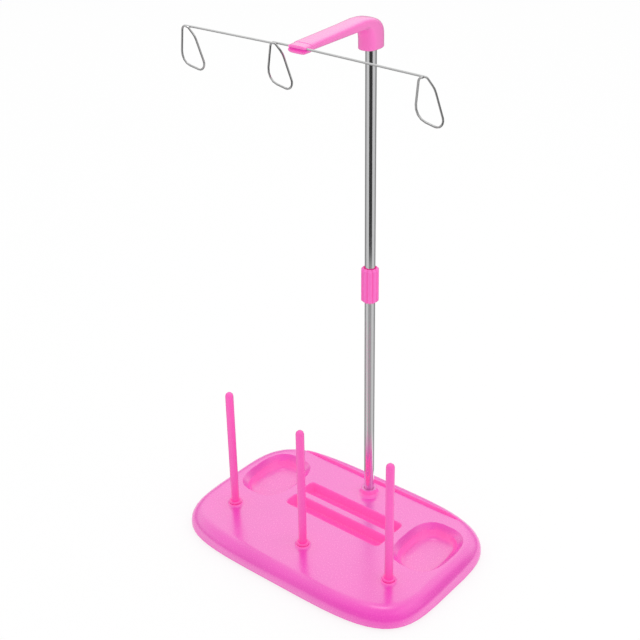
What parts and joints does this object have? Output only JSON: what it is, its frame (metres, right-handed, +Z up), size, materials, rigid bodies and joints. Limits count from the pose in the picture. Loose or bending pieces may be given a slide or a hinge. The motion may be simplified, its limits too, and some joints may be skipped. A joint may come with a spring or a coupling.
{
  "type": "thread cone holder",
  "caption": "Thread cone holder: a moulded base with trays, slots and upright spool pins, a jointed mast, and an arm that carries a wire bar with hanging thread loops.",
  "frame": {"origin": "on the table, under the middle of the base", "axes": "+X to the right along the base, +Y to the back where the mast stands, +Z up along the mast"},
  "size_m": [0.2798, 0.1878, 0.511],
  "materials": {
    "pink_plastic": "glossy moulded, slightly translucent pink",
    "chrome_tube": "polished plate",
    "wire_steel": "bright drawn wire",
    "plain_steel": "turned",
    "zinc_steel": "zinc plated",
    "foot_rubber": "matt moulded"
  },
  "bodies": {
    "stand": {"base_shell": "pink_plastic", "foot_front_left": "foot_rubber", "foot_front_right": "foot_rubber", "foot_back_left": "foot_rubber", "foot_back_right": "foot_rubber", "spool_pin_left": "pink_plastic", "pin_washer_left": "zinc_steel", "pin_screw_left": "zinc_steel", "spool_pin_middle": "pink_plastic", "pin_washer_middle": "zinc_steel", "pin_screw_middle": "zinc_steel", "spool_pin_right": "pink_plastic", "pin_washer_right": "zinc_steel", "pin_screw_right": "zinc_steel", "mast_lower_tube": "chrome_tube", "mast_plug": "plain_steel", "mast_washer": "zinc_steel", "mast_screw": "zinc_steel", "mast_coupling": "pink_plastic", "mast_upper_tube": "chrome_tube"},
    "swivel_arm": {"arm": "pink_plastic"},
    "wire_bar": {"guide_bar": "wire_steel"}
  },
  "joints": [
    {"name": "arm_swivel", "type": "hinge", "parent": "stand", "child": "swivel_arm", "pos_m": [0, 0.0575, 0.49], "axis": [0, 0, 1], "range_deg": [-180, 180]},
    {"name": "wire_tilt", "type": "hinge", "parent": "swivel_arm", "child": "wire_bar", "pos_m": [0, -0.0371, 0.504], "axis": [1, 0, 0], "range_deg": [-250, 75]}
  ]
}
